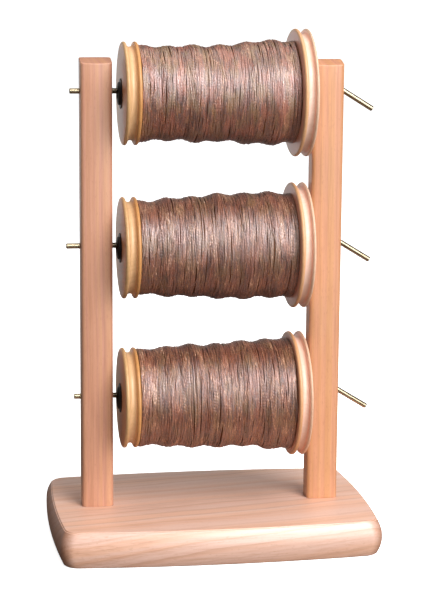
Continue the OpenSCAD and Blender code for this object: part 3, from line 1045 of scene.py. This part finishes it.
def upright_wood(side, number, pale, end):
    """The base's wood, redder. Its darker tones follow from the pale one; end tints its end
    grain, and on the left upright it is darker, to hold painted shade on the sloping top."""
    tones = [pale]
    for shares in ((0.88, 0.82, 0.77), (0.67, 0.56, 0.50)):
        tones.append([share * value for share, value in zip(shares, pale)])
    return wood(
        side + "_upright_wood", tones, grain=2, layers=(0.96, 0.28, 0.006), pitch=3.4,
        offset=(60 * number, 25 * number, 90 * number), hue=(1.0, 1.04, 0.82), end=end,
        lines=0.15, sheen=0.7,
    )


def bobbin_wood(number, rim=None):
    """Pale turned wood. Even numbers are yellower and darker: the small whorls and one core."""
    warmth = 1 - 0.04 * (number // 2)
    tones = [(r, g * warmth, b * warmth ** 1.5) for r, g, b in LARGE_WHORL_TONES]
    if number % 2 == 0:
        tones = SMALL_WHORL_TONES
    return wood(
        f"bobbin_wood_{number}", tones, grain=2, layers=(0.25, 0.95, 0.1), pitch=3.0,
        wander=2.0, offset=(17 * number, 41 * number, 23 * number), turn=(0.9 * number, 0, 0),
        fleck=0.05, rim=rim,
    )


def whorl_rim(level, size):
    """A whorl's axis, radius, inner face and the way that face looks, for its tints."""
    low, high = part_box(f"{level}_{size}_whorl")
    inner_x, side = (high.x, 1) if size == "small" else (low.x, -1)
    return (*bobbin_axis(level), (high.z - low.z) / 2, inner_x, side)


def build_object():
    rods = [level + "_rod" for level in LEVELS]
    build_base(base_wood())
    build_upright("left_upright", upright_wood("left", 0, LEFT_PALE, LEFT_END_GRAIN_AND_SHADE), rods)
    build_upright("right_upright", upright_wood("right", 1, RIGHT_PALE, RIGHT_END), rods)
    metal, nylon = brass(), black_nylon()
    wool = wound_body_material()
    for i, level in enumerate(LEVELS):
        build_rod(level, metal)
        for k, size in enumerate(["small", "large"]):
            build_whorl(level, size, bobbin_wood(2 * i + k, whorl_rim(level, size)))
        build_bush(level, "left", nylon)
        build_bush(level, "right", nylon)
        build_yarn(level, 10 * (i + 1), yarn_material(level), wool)
        refinish(level + "_core", bobbin_wood(FIRST_CORE_NUMBER + i))
    refinish("upright_screws", screw_steel())


def refinish(node, material):
    """A better material for a CAD node that is shown as it is."""
    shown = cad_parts[node]
    shown.data.materials.clear()
    shown.data.materials.append(material)


# ---------------------------------------------------------------- studio

AZIMUTH, ELEVATION = math.radians(-9.15), math.radians(10.51)
ROLL = math.radians(0.42)
CAMERA_DISTANCE = 1.3946
CAMERA_LENS, SENSOR_WIDTH = 112.4, 36
TARGET_X, TARGET_Z = 2.84 * MM, 176.75 * MM


def camera():
    """A long lens from the left and a little above, as high as the middle bobbin."""
    low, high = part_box("left_upright")
    target = Vector((TARGET_X, (low.y + high.y) / 2, TARGET_Z))
    back = Vector((
        math.sin(AZIMUTH) * math.cos(ELEVATION),
        -math.cos(AZIMUTH) * math.cos(ELEVATION),
        math.sin(ELEVATION),
    ))
    right = Vector((math.cos(AZIMUTH), math.sin(AZIMUTH), 0))
    up = back.cross(right)
    rolled_right = right * math.cos(ROLL) + up * math.sin(ROLL)
    rolled_up = up * math.cos(ROLL) - right * math.sin(ROLL)
    data = bpy.data.cameras.new("camera")
    data.sensor_width = SENSOR_WIDTH
    data.lens = CAMERA_LENS
    data.clip_end = 100
    made = added("camera", data)
    turn = Matrix((rolled_right, rolled_up, back)).transposed().to_4x4()
    made.matrix_world = Matrix.Translation(target + back * CAMERA_DISTANCE) @ turn
    bpy.context.scene.camera = made


def softbox(name, place, aim, size, power, colour):
    """A rectangular light with the given power in watts."""
    data = bpy.data.lights.new(name, "AREA")
    data.shape = "RECTANGLE"
    data.size, data.size_y = size
    data.energy = power
    data.color = colour
    made = added(name, data)
    made.location = place
    made.rotation_euler = (Vector(aim) - Vector(place)).to_track_quat("-Z", "Y").to_euler()


def camera_rays_only(nodes, seen, unseen):
    """A mix of two shaders: one that the camera sees, and one that lights the object."""
    mix = nodes.add("ShaderNodeMixShader")
    rays = nodes.add("ShaderNodeLightPath")
    nodes.link(rays.outputs["Is Camera Ray"], mix.inputs["Fac"])
    nodes.link(unseen, mix.inputs[1])
    nodes.link(seen, mix.inputs[2])
    return mix.outputs["Shader"]


def studio():
    """A warm key light from the front right, and a dim grey room behind a white backdrop. The
    room is brighter behind the object, from a little above the horizon down."""
    middle = (0, 0, 0.19)
    softbox("key", (0.96, -1.95, 1.95), middle, (1.76, 1.76), 106, (1.0, 0.985, 0.99))
    softbox("low", (0.90, -1.95, 0.40), middle, (1.6, 0.7), 15, (0.95, 0.98, 1.0))
    softbox("top", (0.0, 0.30, 1.9), middle, (1.4, 1.4), 11, (1.0, 0.97, 0.92))
    nodes = Nodes("studio", world=True)
    room = nodes.tree.nodes["Background"]
    room.inputs["Color"].default_value = (0.98, 0.96, 0.96, 1)
    direction = nodes.parts(nodes.add("ShaderNodeTexCoord").outputs["Generated"])
    behind = nodes.span(direction["Y"], 0.05, 0.80)
    level = nodes.span(direction["Z"], 0.05, 0.20, 1, 0)
    nodes.link(nodes.math("MULTIPLY_ADD", behind, level, 0.20), room.inputs["Strength"])
    backdrop = nodes.add("ShaderNodeBackground")
    backdrop.inputs["Color"].default_value = (1, 1, 1, 1)
    shader = camera_rays_only(nodes, backdrop.outputs[0], room.outputs[0])
    nodes.link(shader, nodes.tree.nodes["World Output"].inputs["Surface"])
    bpy.context.scene.world = nodes.owner
    bpy.context.scene.view_settings.view_transform = "Standard"


def glowing(nodes, colour, strength):
    """A matt surface that also gives off white light."""
    matt = nodes.add("ShaderNodeBsdfDiffuse")
    matt.inputs["Color"].default_value = (*colour, 1)
    light = nodes.add("ShaderNodeEmission")
    nodes.link(strength, light.inputs["Strength"])
    both = nodes.add("ShaderNodeAddShader")
    nodes.link(matt.outputs[0], both.inputs[0])
    nodes.link(light.outputs[0], both.inputs[1])
    return both.outputs[0]


def floor():
    """A white floor with a soft contact shadow, which throws little light back."""
    nodes = Nodes("pale_floor")
    place = nodes.add("ShaderNodeTexCoord").outputs["Object"]
    halo = nodes.span(nodes.length(place), 0.10, 0.45, 0.82, 1.0)
    far = nodes.span(nodes.parts(place)["Y"], 0.3, 2.0)
    seen = glowing(nodes, (0.95, 0.95, 0.95), halo)
    unseen = glowing(nodes, (0.14, 0.12, 0.11), far)
    shader = camera_rays_only(nodes, seen, unseen)
    nodes.link(shader, nodes.tree.nodes["Material Output"].inputs["Surface"])
    reach = 20.0
    mesh = bpy.data.meshes.new("floor")
    corners = [(-reach, -reach, 0), (reach, -reach, 0), (reach, reach, 0), (-reach, reach, 0)]
    mesh.from_pydata(corners, [], [(0, 1, 2, 3)])
    mesh.materials.append(nodes.owner)
    made = added("floor", mesh)


camera()
studio()
floor()
build_object()
